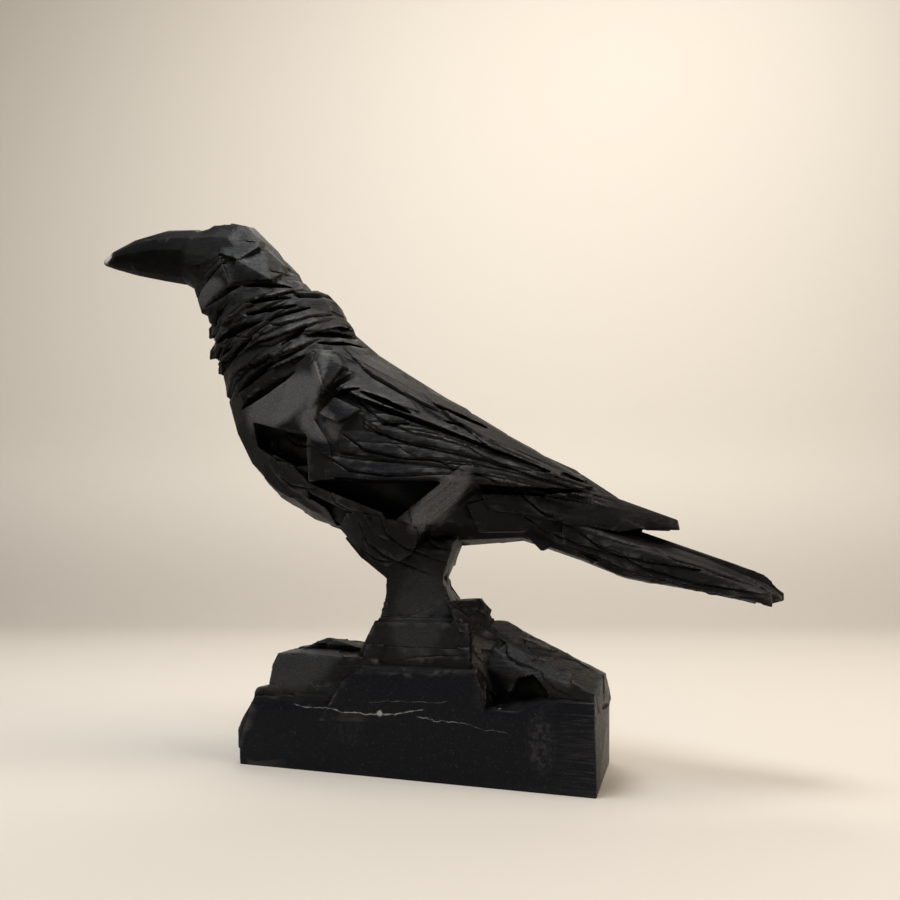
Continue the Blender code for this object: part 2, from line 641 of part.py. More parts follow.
def build_stem():
    """The waist of uncut stone from the rock up into the belly, with its layers."""
    middle = STEM_SHIFT / ROCK_SHARE
    foot_x, foot_y = STEM_FOOT_WIDTH / ROCK_SHARE / 2, STEM_FOOT_DEPTH / ROCK_SHARE / 2
    waist_y = STEM_DEPTH / ROCK_SHARE / 2
    left, right = middle - STEM_WIDTH / ROCK_SHARE / 2, middle + STEM_WIDTH / ROCK_SHARE / 2
    perch = PERCH_HEIGHT / ROCK_SHARE
    ledge = LEDGE_HEIGHT / ROCK_SHARE
    parts = []
    parts.append(rock("stem_foot", box_corners(
        (-foot_x - 2, foot_x - 6, -foot_y + 2, foot_y), ledge - 18,
        (left - 3, right + 20, -waist_y - 9, waist_y + 5), ledge + 28)))
    parts.append(rock("stem_layer", box_corners(
        (left - 10, right + 24, -waist_y - 14, waist_y + 8), ledge - 4,
        (left - 7, right + 22, -waist_y - 12, waist_y + 7), ledge + 13)))
    parts.append(rock("stem_upper_layer", box_corners(
        (left - 6, right + 21, -waist_y - 11, waist_y + 5), ledge + 10,
        (left - 1, right + 17, -waist_y - 7, waist_y + 4), ledge + 30)))
    parts.append(rock("stem_right_plane", [
        (38, -30, ledge + 23), (40, -36, ledge - 9), (62, -18, ledge - 17), (60, -12, ledge + 11),
        (44, -6, ledge + 25), (20, -8, ledge + 23), (20, -8, ledge - 17), (52, 8, ledge)]))
    parts.append(rock("stem_right_shoulder", [
        (31, -32, ledge + 23), (20, -25, ledge + 41), (29, -14, ledge + 38), (38, -8, ledge + 40),
        (44, -4, ledge + 27), (42, -24, ledge + 20), (12, -8, ledge + 23), (12, -8, ledge + 40)]))
    parts.append(rock("stem_neck", [
        (left - 2, -waist_y - 6, ledge + 24), (right + 16, -waist_y - 6, ledge + 24),
        (right + 10, waist_y + 3, ledge + 24), (left - 2, waist_y + 3, ledge + 24),
        (left + 1, -waist_y + 1, perch - 8), (right + 2, -waist_y + 1, perch - 8),
        (right - 8, waist_y - 2, perch - 8), (left + 4, waist_y, perch - 8)]))
    parts.append(rock("stem_knob", [
        (12, -12, ledge + 23), (30, -14, ledge + 37), (36, -8, ledge + 42), (41, 0, ledge + 35),
        (35, 10, ledge + 33),
        (31, 12, ledge + 41), (22, 12, ledge + 41), (8, 16, ledge + 27), (34, 0, ledge + 13),
        (18, -10, ledge + 38), (8, 12, ledge + 40)]))
    parts.append(rock("stem_waist", [
        (left, -waist_y + 1, perch - 16), (right + 1, -waist_y + 1, perch - 16),
        (right - 6, waist_y - 6, perch - 16),
        (right - 10, waist_y, perch - 16), (left + 3, waist_y, perch - 16),
        (left, -waist_y + 1, perch + 2), (right, -waist_y + 1, perch + 4),
        (right - 7, waist_y - 8, perch + 4),
        (right - 12, waist_y, perch + 4), (left + 3, waist_y, perch + 2)]))
    parts.append(rock("stem_head", [
        (left, -waist_y + 1, perch - 3), (right, -waist_y + 1, perch - 3),
        (right - 7, waist_y - 8, perch - 3),
        (right - 12, waist_y, perch - 3), (left + 3, waist_y, perch - 3),
        (left - 8, -waist_y, perch + 5), (left - 19, -waist_y, perch + 11),
        (left - 31, -waist_y + 2, perch + 23),
        (left - 26, waist_y - 2, perch + 24), (left - 8, waist_y, perch + 8),
        (right, -waist_y - 3, perch + 14),
        (right + 9, -waist_y - 2, perch + 19), (right - 4, waist_y - 4, perch + 22),
        (right + 12, 0, perch + 30),
        (left - 30, 0, perch + 32)]))
    return parts


def build_niche():
    """The hollow scooped into the right of the front face."""
    deep = BASE_WIDTH / ROCK_SHARE / 2
    wide, far, tall = NICHE_WIDTH / ROCK_SHARE, NICHE_DEPTH / ROCK_SHARE, NICHE_HEIGHT / ROCK_SHARE
    floor = NICHE_FLOOR / ROCK_SHARE
    left = 52
    cutter = rock("niche_cutter", [
        (left, -deep - 6, floor + 4), (left + 6, -deep - 6, floor),
        (left + wide * 0.55, -deep - 6, floor),
        (left + wide, -deep - 6, floor + 7), (left + wide, -deep - 6, floor + tall),
        (left - 2, -deep - 6, floor + tall * 0.6),
        (left + 5, -deep + far * 0.8, floor + 4), (left + wide * 0.6, -deep + far, floor + 5),
        (left + wide * 1.1, -deep + far * 0.7, floor + 9),
        (left + wide * 0.7, -deep + far, floor + tall)])
    return hide_cutter(cutter)


def apply_boolean(target, operation, other):
    # Closed bodies only: with this many overlapping chips the other way of joining leaves open edges.
    step = target.modifiers.new("join", "BOOLEAN")
    step.operation = operation
    step.solver = "MANIFOLD"
    step.object = other
    bpy.context.view_layer.objects.active = target
    bpy.ops.object.modifier_apply(modifier=step.name)
    bpy.data.objects.remove(other, do_unlink=True)


def add_material(thing):
    stone = bpy.data.materials.new("black_stone")
    stone.use_nodes = True
    shader = stone.node_tree.nodes["Principled BSDF"]
    shader.inputs["Base Color"].default_value = (0.018, 0.018, 0.020, 1)
    shader.inputs["Roughness"].default_value = 0.55
    thing.data.materials.clear()
    thing.data.materials.append(stone)


def connected_body(start):
    found, waiting = {start}, [start]
    while waiting:
        vert = waiting.pop()
        for edge in vert.link_edges:
            other = edge.other_vert(vert)
            if other not in found:
                found.add(other)
                waiting.append(other)
    return found


def clean_mesh(thing):
    """Keeps the one body, without crumbs left by the cuts, and merges facets that lie in one plane."""
    shape = bmesh.new()
    shape.from_mesh(thing.data)
    bmesh.ops.remove_doubles(shape, verts=shape.verts, dist=0.000001)
    body = connected_body(max(shape.verts, key=lambda vert: vert.co.x))
    crumbs = [vert for vert in shape.verts if vert not in body]
    bmesh.ops.delete(shape, geom=crumbs, context="VERTS")
    bmesh.ops.dissolve_limit(
        shape, angle_limit=math.radians(FLATNESS), verts=shape.verts, edges=shape.edges,
        use_dissolve_boundaries=False)
    bmesh.ops.triangulate(shape, faces=shape.faces)
    bmesh.ops.dissolve_degenerate(shape, edges=shape.edges, dist=0.000001)
    bmesh.ops.recalc_face_normals(shape, faces=shape.faces)
    shape.to_mesh(thing.data)
    shape.free()


def build_statue():
    statue = build_trunk()
    statue.name = "crow_statue"
    parts = build_collars() + build_throat_teeth()
    hollows = []
    chips = []
    for side in (-1, 1):
        parts += build_head_chips(side) + build_shoulder(side) + build_wing(side)
        hollows += build_hollows(side) + build_grooves(side)
        chips += build_underside_chips(side)
    parts += build_back_chips()
    for part in parts:
        apply_boolean(statue, "UNION", part)
    for hollow in hollows:
        apply_boolean(statue, "DIFFERENCE", hollow)
    for part in chips + build_tail() + build_stem() + build_base():
        apply_boolean(statue, "UNION", part)
    apply_boolean(statue, "DIFFERENCE", build_niche())
    clean_mesh(statue)
    add_material(statue)
    return statue


clear_scene()
build_statue()
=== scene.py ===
"""The dressed stone crow: fine carving over the solid's form, black stone, soft studio light."""
import math
import random

import bmesh
import bpy
import numpy as np
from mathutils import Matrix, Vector
from mathutils.bvhtree import BVHTree


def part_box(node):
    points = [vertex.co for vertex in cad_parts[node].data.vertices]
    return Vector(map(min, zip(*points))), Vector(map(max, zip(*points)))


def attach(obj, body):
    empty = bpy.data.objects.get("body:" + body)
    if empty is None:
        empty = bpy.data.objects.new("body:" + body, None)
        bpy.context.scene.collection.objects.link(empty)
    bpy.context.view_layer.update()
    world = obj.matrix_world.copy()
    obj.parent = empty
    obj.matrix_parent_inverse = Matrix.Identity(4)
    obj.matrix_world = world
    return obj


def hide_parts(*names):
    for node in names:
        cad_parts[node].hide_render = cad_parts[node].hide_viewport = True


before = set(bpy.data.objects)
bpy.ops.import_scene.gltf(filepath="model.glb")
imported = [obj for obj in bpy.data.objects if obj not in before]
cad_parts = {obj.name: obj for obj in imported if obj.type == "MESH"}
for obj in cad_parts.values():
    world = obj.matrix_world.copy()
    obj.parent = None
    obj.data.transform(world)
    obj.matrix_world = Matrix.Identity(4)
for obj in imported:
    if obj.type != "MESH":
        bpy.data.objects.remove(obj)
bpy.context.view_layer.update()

# Lengths are metres in the statue's own frame: beak to -X, viewer at -Y, underside at 0.
# Carving sizes and places in the side view are millimetres in the same frame.
CELL = 0.0006
TRIANGLES = 150000
LONGEST_EDGE = 0.0060
ROCK_FACETS = 170
CREASE = math.radians(30)
HOLLOW_RAYS = 10
HOLLOW_REACH = 0.030
GOLDEN_TURN = 2.39996
BATCH = 8000
THROAT = -100
LATTICE_SEED, FACET_SEED, CHIP_SEED = 4, 12, 9

TIP_CHIP_FACING = np.array([-0.30, -0.92, 0.25])
TIP_CHIP_PLACE = np.array([0.0, -0.0012, 0.0])
TIP_CHIP_LENGTH = 0.014

CAMERA_PLACE = (0.19946, -0.49326, 0.11896)
CAMERA_PITCH = math.radians(8.565)
CAMERA_TURN = math.radians(20.74)
LENS, SENSOR = 32.4, 36

LOWEST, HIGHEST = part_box("crow_statue")

BACK = ((-66, 280), (-40, 262), (20, 226), (60, 198), (112, 170), (158, 147))
WING_EDGE = ((-70, 180), (-30, 177), (15, 175), (60, 171), (112, 158), (158, 143))
TAIL_TOP = ((60, 176), (92, 158), (130, 141), (170, 129), (211, 107))
TAIL_LOW = ((60, 138), (92, 134), (130, 118), (170, 107), (211, 103))

# Granular planes in the side view, paler partly as painted highlight where they face the light: middle,
# reach, turn and strength.
GRAINY_HIGHLIGHT = (((-66, 245), (5.5, 24), -10, 1.0), ((-63, 214), (17, 11), -30, 1.0),
          ((-168, 322), (15, 10), 15, 0.8), ((-96, 232), (34, 16), 20, 1.0),
          ((19, 162), (29, 8.5), 39, 1.0), ((2, 94), (19, 30), 0, 0.16), ((-84, 62), (34, 18), 5, 0.22))

LATTICE = np.random.default_rng(LATTICE_SEED).random((32, 32, 32)).astype(np.float32)


def noise(points, scale, shift=0.0):
    """Smooth noise from 0 to 1 at points; scale is the size of one cell along each axis."""
    at = points / np.asarray(scale, float) + shift
    base = np.floor(at).astype(int)
    part = at - base
    part = part * part * (3 - 2 * part)
    total = np.zeros(len(points))
    for corner in range(8):
        step = np.array([corner & 1, corner >> 1 & 1, corner >> 2 & 1])
        index = (base + step) & 31
        weight = np.prod(np.where(step == 1, part, 1 - part), axis=1)
        total += weight * LATTICE[index[:, 0], index[:, 1], index[:, 2]]
    return total


def fade(value, low, high):
    """A smooth step from 0 at low to 1 at high."""
    share = np.clip((value - low) / (high - low), 0, 1)
    return share * share * (3 - 2 * share)


def along(points, x):
    """Height of a line of the side view at x."""
    xs, values = zip(*points)
    return np.interp(x, xs, values)


# Reading and writing meshes

def apply_modifiers(thing):
    depsgraph = bpy.context.evaluated_depsgraph_get()
    made = bpy.data.meshes.new_from_object(thing.evaluated_get(depsgraph))
    thing.modifiers.clear()
    old = thing.data
    thing.data = made
    bpy.data.meshes.remove(old)


def read_points(mesh):
    points = np.empty(len(mesh.vertices) * 3, np.float32)
    mesh.vertices.foreach_get("co", points)
    return points.reshape(-1, 3).astype(float)


def write_points(mesh, points):
    mesh.vertices.foreach_set("co", points.astype(np.float32).ravel())
    mesh.update()


def read_normals(mesh):
    normals = np.empty(len(mesh.vertices) * 3, np.float32)
    mesh.vertices.foreach_get("normal", normals)
    return normals.reshape(-1, 3).astype(float)


def smoothed(mesh, values, rounds):
    """Values per vertex, averaged with the neighbours' values a few times over."""
    edges = np.empty(len(mesh.edges) * 2, np.int32)
    mesh.edges.foreach_get("vertices", edges)
    a, b = edges.reshape(-1, 2).T
    count = np.maximum(np.bincount(edges, minlength=len(values)), 1)[:, None]
    for _ in range(rounds):
        total = np.stack([np.bincount(a, column[b], len(values)) + np.bincount(b, column[a], len(values))
                          for column in values.T], axis=1)
        values = 0.4 * values + 0.6 * total / count
    return values


def bulge(mesh, points, normals, rounds=2):
    """How far each vertex stands out of its neighbours: above 0 on edges, below 0 in grooves."""
    return np.einsum("ij,ij->i", points - smoothed(mesh, points, rounds), normals)


# Where the stone is worked differently

def regions(points):
    """Shares from 0 to 1 of bird, beak, breast plane and sawn faces."""
    x, y, z = points.T
    bird = fade(z, 0.110, 0.126)
    beak = bird * fade(-x, 0.186, 0.196)
    breast = bird * fade(-x, 0.056, 0.062) * (1 - fade(-x, 0.128, 0.136)) * fade(z, 0.207, 0.213)
    breast *= 1 - fade(z, 0.256 + 0.4 * (x + 0.085), 0.262 + 0.4 * (x + 0.085))
    front = (1 - bird) * fade(-y, 0.0395, 0.0415)
    end = fade(x, 0.100, 0.104) * (1 - fade(z, 0.040, 0.046))
    sawn = np.maximum(front, (1 - bird) * np.maximum(end, 1 - fade(z, 0.002, 0.004)))
    return bird, beak, breast, sawn


def flow(x, z):
    """Direction of the carving strokes in the side view, as an angle above +X, in degrees."""
    back, edge = along(BACK, x), along(WING_EDGE, x)
    row = np.clip((back - z) / np.maximum(4.0, back - edge), 0, 1)
    angle = np.where(x > -68, -33 + 27 * row, -28.0)
    angle = np.where((x > 60) & (z < edge - 2), -24.0, angle)
    angle = np.where((x < -68) & (z > 236 - 0.1 * (x + 150)), 8 + (330 - z) * 0.22, angle)
    angle = np.where((z > 322) & (x < -100), -32.0, angle)
    angle = np.where(x < -196, 5.0, angle)
    return np.where(z < 118, 3.0, angle)


# Flat struck facets

def facet_owners(mm, worked, seed, form):
    """The facet that each worked vertex belongs to, by distance in each facet's own stretched frame."""
    linear = -2 * np.einsum("ijk,ik->ij", form, seed)
    rest = np.einsum("ij,ijk,ik->i", seed, form, seed)
    table = np.stack([form[:, 0, 0], form[:, 1, 1], form[:, 2, 2], 2 * form[:, 0, 1], 2 * form[:, 0, 2],
                      2 * form[:, 1, 2], linear[:, 0], linear[:, 1], linear[:, 2], rest])
    owner = np.zeros(len(mm), int)
    # In batches, to spare memory.
    for begin in range(0, len(worked), BATCH):
        part = worked[begin:begin + BATCH]
        x, y, z = mm[part].T
        features = np.stack([x * x, y * y, z * z, x * y, x * z, y * z, x, y, z, np.ones(len(x))], axis=1)
        owner[part] = np.argmin(features @ table, axis=1)
    return owner


def chisel(points, normals, weight, count, chance, length, width, offset, lean):
    """Turns the surface into flat facets along the strokes, each leaning out at its lower edge."""
    mm = points * 1000
    picks = chance.choice(len(points), count, replace=False, p=weight / weight.sum())
    seed, facing = mm[picks], normals[picks]
    angle = np.radians(flow(seed[:, 0], seed[:, 2])) + chance.normal(0, 0.10, count)
    run = np.stack([np.cos(angle), np.zeros(count), np.sin(angle)], axis=1)
    run -= facing * np.einsum("ij,ij->i", run, facing)[:, None]
    run /= np.maximum(np.linalg.norm(run, axis=1), 1e-6)[:, None]
    over = np.cross(facing, run)
    over *= np.where(over[:, 2:] > 0, -1.0, 1.0)
    long = length * chance.uniform(0.7, 1.3, count)
    wide = width * chance.uniform(0.7, 1.3, count)
    form = (np.einsum("ij,ik->ijk", run, run) / long[:, None, None] ** 2
            + np.einsum("ij,ik->ijk", over, over) / wide[:, None, None] ** 2
            + np.einsum("ij,ik->ijk", facing, facing) / 6.0 ** 2)
    owner = facet_owners(mm, np.flatnonzero(weight > 0.01), seed, form)

    def mean(values, share):
        total = np.stack([np.bincount(owner, column * share, count) for column in values.T], axis=1)
        return total / np.maximum(np.bincount(owner, share, count), 1e-9)[:, None]

    used = (weight > 0.01).astype(float)
    plane = mean(normals, used + 1e-9)
    plane /= np.maximum(np.linalg.norm(plane, axis=1), 1e-6)[:, None]
    same = used * fade(np.einsum("ij,ij->i", plane[owner], normals), 0.60, 0.85)
    plane = mean(normals, same + 1e-9)
    middle = mean(mm, same + 1e-9)
    plane -= over * chance.uniform(0, lean, count)[:, None]
    plane += run * chance.normal(0, 0.25 * lean, count)[:, None]
    plane /= np.maximum(np.linalg.norm(plane, axis=1), 1e-6)[:, None]
    middle += plane * chance.uniform(-offset, offset, count)[:, None]
    lined = np.einsum("ij,ij->i", plane[owner], normals)
    shift = np.einsum("ij,ij->i", middle[owner] - mm, plane[owner]) / np.maximum(lined, 0.5)
    shift = np.clip(shift, -1.5, 1.0) * fade(lined, 0.60, 0.85) * weight
    return points + normals * shift[:, None] / 1000


# Long chips with a dark cut under each lower edge

class Relief:
    """Height over the hewn planes per vertex in millimetres, built up chip by chip."""

    def __init__(self, points):
        self.x, self.z = points[:, 0] * 1000, points[:, 2] * 1000
        self.rise = np.zeros(len(points))
        self.cut = np.zeros(len(points))

    def lap(self, near, u, v, width, height, cut, gap):
        """One chip on the vertices near: u from 0 to 1 along it, v below its upper edge."""
        swell = np.clip(u / 0.22, 0, 1) ** 0.8 * np.clip((1 - u) / 0.55, 0, 1) ** 0.8
        low = width * swell
        share = np.maximum(v, 0) / np.maximum(low, 0.01)
        inside = (u > 0) & (u < 1) & (v > 0) & (share <= 1)
        chip = near[inside]
        lip = np.clip((low - v) / 0.7, 0, 1)
        self.rise[chip] = np.maximum(self.rise[chip], (height * swell * share ** 1.3 * lip)[inside])
        self.cut[chip] *= 0.25
        under = (u > 0.04) & (u < 0.96) & (share > 1) & (v < low + gap)
        wall = np.minimum((v - low) / (0.28 * gap), (1 - (v - low) / gap) / 0.72)
        self.cut[near[under]] = np.maximum(self.cut[near[under]], (cut * swell * wall)[under])

    def straight(self, side, x, z, length, angle, width, height, cut, gap, bow=0.0):
        """A chip round a place of the side view, turned by its angle above +X."""
        near = side[(np.abs(self.x[side] - x) < length * 0.6) & (np.abs(self.z[side] - z) < length * 0.6)]
        turn = math.radians(angle)
        dx, dz = self.x[near] - x, self.z[near] - z
        u = (dx * math.cos(turn) + dz * math.sin(turn)) / length + 0.5
        up = -dx * math.sin(turn) + dz * math.cos(turn) - bow * 4 * u * (1 - u)
        self.lap(near, u, width / 2 - up, width, height, cut, gap)

    def banded(self, side, top, low, start, finish, row, drift, width, height, cut, gap):
        """A chip that runs with the rows between an upper and a lower line of the side view."""
        near = side[(self.x[side] > start) & (self.x[side] < finish)]
        high, deep = along(top, self.x[near]), along(low, self.x[near])
        span = np.maximum(high - deep, 4.0)
        u = (self.x[near] - start) / (finish - start)
        v = high - self.z[near] - span * (row + drift * u)
        narrow = 0.45 + 0.55 * np.minimum(span / 60, 1)
        self.lap(near, u, v / narrow, width, height, cut, gap)

    def ridge(self, side, line, width, height):
        """A thin raised line through points of the side view."""
        near = side[(self.x[side] > line[0][0]) & (self.x[side] < line[-1][0])]
        off = np.abs(self.z[near] - along(line, self.x[near]))
        run = (self.x[near] - line[0][0]) / (line[-1][0] - line[0][0])
        taper = np.clip(run / 0.1, 0, 1) * np.clip((1 - run) / 0.25, 0, 1)
        rise = height * taper * np.clip(1 - off / width, 0, 1)
        self.rise[near] = np.maximum(self.rise[near], self.rise[near] * 0.5 + rise)

    def slit(self, side, line, width, depth):
        """A thin dark cut through points of the side view, ordered by x."""
        near = side[(self.x[side] > line[0][0]) & (self.x[side] < line[-1][0])]
        middle = along(line, self.x[near])
        run = (self.x[near] - line[0][0]) / (line[-1][0] - line[0][0])
        taper = np.clip(4 * run * (1 - run), 0, 1) ** 0.7
        off = (self.z[near] - middle) / width
        wall = np.where(off > 0, 1 - off / 0.4, 1 + off / 0.8)
        self.cut[near] = np.maximum(self.cut[near], depth * taper * np.clip(wall, 0, 1))


def carve_wing(relief, side, chance):
    """Long chips and lines that run together at the wing tip."""
    for start, finish, row, drift, width, height, cut in (
            (-64, 88, 0.015, 0.03, 9.0, 1.2, 1.3), (-2, 114, 0.02, 0.10, 8.0, 1.5, 1.7),
            (-46, 64, 0.30, 0.08, 12.0, 1.6, 1.7), (34, 124, 0.18, 0.02, 8.0, 1.3, 1.5),
            (24, 126, 0.36, 0.08, 8.0, 1.3, 1.4), (-40, 90, 0.46, 0.02, 11.0, 1.5, 1.5),
            (-54, 60, 0.62, -0.02, 12.0, 1.6, 1.5), (4, 120, 0.66, 0.04, 9.0, 1.4, 1.4),
            (-66, 50, 0.80, 0.03, 11.0, 1.5, 1.2), (40, 128, 0.80, 0.05, 8.0, 1.2, 1.2)):
        relief.banded(side, BACK, WING_EDGE, start, finish, row, drift, width, height, cut, 1.7)
    for _ in range(2):
        start = chance.uniform(-44, 50)
        finish = min(124, start + chance.uniform(60, 95))
        relief.banded(side, BACK, WING_EDGE, start, finish, chance.uniform(0.1, 0.9),
                      chance.uniform(-0.04, 0.07), chance.uniform(5.0, 8.0), chance.uniform(0.6, 1.0),
                      chance.uniform(0.8, 1.3), 1.6)
    relief.ridge(side, ((-70, 270), (-49, 259), (-24, 243), (8, 221), (44, 198), (70, 184)), 1.0, 0.8)
    relief.ridge(side, ((-63, 270), (-9, 238), (30, 213)), 0.9, 0.7)
    for line in (((-30, 214), (10, 208), (60, 190), (104, 172)), ((-20, 209), (20, 201), (100, 171)),
                 ((-48, 200), (0, 196), (60, 181), (100, 169)), ((-8, 190), (40, 184), (90, 171)),
                 ((-60, 193), (-30, 188), (10, 184)), ((28, 207), (70, 189), (106, 172))):
        shift = chance.uniform(-1.5, 1.5)
        relief.slit(side, [(x, z + shift) for x, z in line], 1.4, chance.uniform(0.8, 1.3))


def carve_neck(relief, side, chance):
    """Shingled plumage that wraps from the throat up to the nape."""
    for _ in range(40):
        x, z = chance.uniform(-172, -52), chance.uniform(240, 320)
        if not 243 + (x + 150) * 0.42 < z < 318 + (x + 160) * 0.05:
            continue
        angle = float(flow(THROAT, z)) + chance.uniform(-7, 7)
        relief.straight(side, x, z, chance.uniform(30, 64), angle, chance.uniform(6.0, 10.0),
                        chance.uniform(0.7, 1.5), chance.uniform(1.4, 3.0), chance.uniform(2.2, 3.2),
                        chance.uniform(0.0, 2.5))
    relief.slit(side, ((-142, 359), (-132, 357)), 1.0, 0.8)
    relief.slit(side, ((-118, 332), (-106, 331)), 1.4, 1.0)
    relief.slit(side, ((-186, 321), (-172, 331), (-152, 344)), 3.0, 2.6)
    relief.slit(side, ((-176, 336), (-166, 341), (-154, 348)), 1.6, 1.2)


def carve_belly(relief, side, chance):
    """Chips along the breast and belly, rougher under the hollow and round the thigh."""
    for _ in range(24):
        x, z = chance.uniform(-132, 70), chance.uniform(130, 212)
        if z > along(WING_EDGE, x) - 4 and x > -70:
            continue
        if -16 < x < 50 and z > 146:
            continue
        relief.straight(side, x, z, chance.uniform(40, 72), chance.uniform(-42, -24), chance.uniform(8, 14),
                        chance.uniform(1.2, 1.9), chance.uniform(1.0, 1.8), 1.8)
    for x0, z0, x1, z1 in ((-2, 152, 36, 178), (2, 149, 43, 176), (8, 149, 44, 172)):
        relief.slit(side, ((x0, z0), (x1, z1)), 1.1, 0.5)


def carve_tail(relief, side, chance):
    """Long ridges that run out to the tail tip."""
    for start, finish, row, drift, width, height, cut in (
            (58, 160, 0.00, 0.12, 13.0, 1.8, 2.2), (84, 206, 0.22, -0.10, 14.0, 1.9, 2.2),
            (62, 150, 0.40, 0.05, 13.0, 1.8, 2.0), (118, 209, 0.45, 0.06, 10.0, 1.6, 2.0),
            (72, 176, 0.62, 0.10, 12.0, 1.7, 1.8), (140, 208, 0.10, 0.05, 8.0, 1.2, 1.4)):
        relief.banded(side, TAIL_TOP, TAIL_LOW, start, finish, row, drift, width, height, cut, 2.0)
    for _ in range(3):
        start = chance.uniform(66, 150)
        finish = min(206, start + chance.uniform(50, 80))
        relief.banded(side, TAIL_TOP, TAIL_LOW, start, finish, chance.uniform(0.05, 0.85),
                      chance.uniform(-0.10, 0.10), chance.uniform(6, 9), chance.uniform(0.7, 1.1),
                      chance.uniform(1.0, 1.6), 1.8)


def carve_rock(relief, side, chance):
    """Split layers of the stem and the ledges."""
    relief.slit(side, ((-14, 66), (10, 69), (38, 71)), 1.4, 0.7)
    relief.slit(side, ((-12, 90), (6, 96), (22, 104)), 1.2, 0.5)
    for _ in range(8):
        x, z = chance.choice((chance.uniform(-108, -50), chance.uniform(54, 106))), chance.uniform(44, 82)
        tilt = chance.uniform(-6, 10) if x < 0 else chance.uniform(-34, -20)
        relief.straight(side, x, z, chance.uniform(18, 44), tilt, chance.uniform(4, 10),
                        chance.uniform(0.2, 0.6), chance.uniform(0.3, 0.8), 2.0)


def add_chips(points, normals, bird, beak, breast, sawn, grooves):
    """The long chips and cuts of both sides, away from smooth and sawn planes."""
    picker = random.Random(CHIP_SEED)
    relief = Relief(points)
    for sign in (-1, 1):
        side = np.flatnonzero((normals[:, 1] * sign > 0.12) & (sawn < 0.5))
        for work in (carve_belly, carve_neck, carve_wing, carve_tail, carve_rock):
            work(relief, side, picker)
    share = fade(np.abs(normals[:, 1]), 0.12, 0.40) * (1 - sawn) * (1 - beak) * (1 - 0.97 * breast)
    share *= np.where(bird > 0.5, 1 - 0.85 * grooves, 1.0)
    return points + normals * ((relief.rise - relief.cut) * share)[:, None] / 1000


def knock_back_edges(mesh, points, beak, rock):
    """Convex edges lose a little stone in places, but the sawn bottom rim stays straight."""
    normals = read_normals(mesh)
    edge = bulge(mesh, points, normals)
    worn = fade(edge, 0.00008, 0.00024) * fade(noise(points, 0.0060, 1.4), 0.56, 0.78)
    worn *= fade(points[:, 2], 0.002, 0.006)
    rough = (noise(points, 0.0030, 5.7) - 0.5) * 0.00016 * rock
    return points + normals * (rough - worn * 0.0006 * (1 - 0.8 * beak))[:, None]


def chip_beak_tip(points):
    """A small flat chip struck off the near side of the beak's tip."""
    tip = points[np.argmin(points[:, 0])]
    beyond = (points - tip - TIP_CHIP_PLACE) @ TIP_CHIP_FACING
    near_tip = points[:, 0] < tip[0] + TIP_CHIP_LENGTH
    return points - np.outer(np.where(near_tip, np.maximum(beyond, 0), 0), TIP_CHIP_FACING)


def carve(mesh):
    """Facets, chips, cuts and broken edges as real relief on the fine mesh."""
    chance = np.random.default_rng(FACET_SEED)
    points, normals = read_points(mesh), read_normals(mesh)
    bird, beak, breast, sawn = regions(points)
    # The deep grooves of the solid keep their depth.
    grooves = fade(-bulge(mesh, points, normals, 14), 0.00022, 0.00070)
    rock = (1 - bird) * (1 - sawn)
    hewn = 0.6 * rock * (1 - 0.95 * fade(np.abs(normals[:, 1]), 0.60, 0.85))
    points = chisel(points, normals, np.maximum(hewn, 1e-6), ROCK_FACETS, chance, 20.0, 13.0, 0.05, 0.05)
    write_points(mesh, points)
    points = add_chips(points, read_normals(mesh), bird, beak, breast, sawn, grooves)
    write_points(mesh, points)
    points = chip_beak_tip(knock_back_edges(mesh, points, beak, rock))
    points = np.clip(points, np.array(LOWEST) - 0.0004, np.array(HIGHEST) + 0.0004)
    points[:, 2] = np.maximum(points[:, 2], 0.0)
    write_points(mesh, points)


# Masks for the stone's colour, kept per vertex

def oval(x, z, middle, reach, turn=0.0):
    """Share of a soft oval in the side view: 1 in its middle, 0 outside."""
    c, s = math.cos(math.radians(turn)), math.sin(math.radians(turn))
    dx, dz = x - middle[0], z - middle[1]
    ring = np.hypot((dx * c + dz * s) / reach[0], (-dx * s + dz * c) / reach[1])
    return fade(-ring, -1.1, -0.75)


def hollowness(mesh, points, normals):
    """Share of the open air above each vertex that the stone itself hides."""
    faces = [tuple(face.vertices) for face in mesh.polygons]
    tree = BVHTree.FromPolygons([Vector(point) for point in points], faces)
    hidden, total = np.zeros(len(points)), np.zeros(len(points))
    starts = [Vector(point) for point in points + normals * 0.0005]
    for number in range(HOLLOW_RAYS):
        rise = 1 - 2 * (number + 0.5) / HOLLOW_RAYS
        turn = GOLDEN_TURN * number
        flat = math.sqrt(1 - rise * rise)
        way = np.array([flat * math.cos(turn), flat * math.sin(turn), rise])
        facing = normals @ way
        ways = np.where(facing[:, None] < 0, -way, way)
        hits = np.array([tree.ray_cast(start, Vector(to), HOLLOW_REACH)[0] is not None
                         for start, to in zip(starts, ways)])
        hidden += hits * np.abs(facing)
        total += np.abs(facing)
    return smoothed(mesh, (hidden / np.maximum(total, 0.001))[:, None], 2)[:, 0]


def keep_colours(mesh, name, *columns):
    layer = mesh.color_attributes.new(name, "FLOAT_COLOR", "POINT")
    layer.data.foreach_set("color", np.stack(columns, axis=1).astype(np.float32).ravel())


